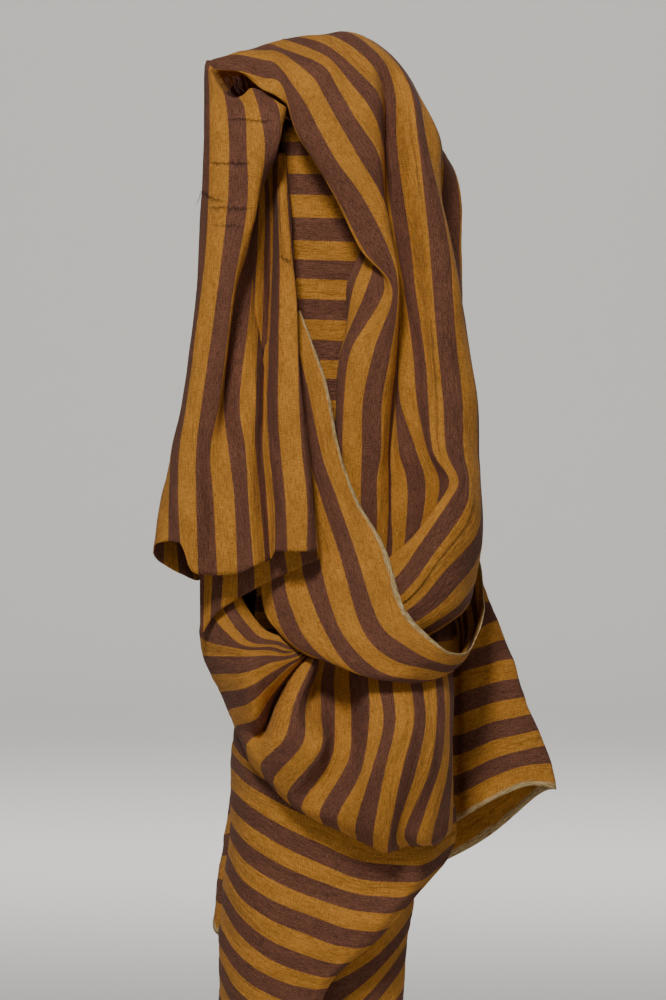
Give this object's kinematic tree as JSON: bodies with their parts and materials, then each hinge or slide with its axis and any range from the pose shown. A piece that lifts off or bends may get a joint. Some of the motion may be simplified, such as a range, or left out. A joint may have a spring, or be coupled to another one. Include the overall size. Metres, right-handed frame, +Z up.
{
  "type": "draped striped fabric",
  "caption": "A cut length of striped linen cloth, draped over a slim upright stand as a hood, a sling, a gathered pouch and a long wrap.",
  "frame": {"origin": "under the top of the hood, where a stand holds the cloth", "axes": "+Z up, the draped front with the sling and the pouch faces -Y, +X to the right of the front"},
  "size_m": [0.4084, 0.2696, 1.2218],
  "materials": {
    "linen": "plain-weave linen in broad ochre and plum-brown stripes with a narrow cream selvedge, slightly slubbed and crinkled"
  },
  "bodies": {
    "root": {"striped_linen": "linen"}
  },
  "joints": []
}
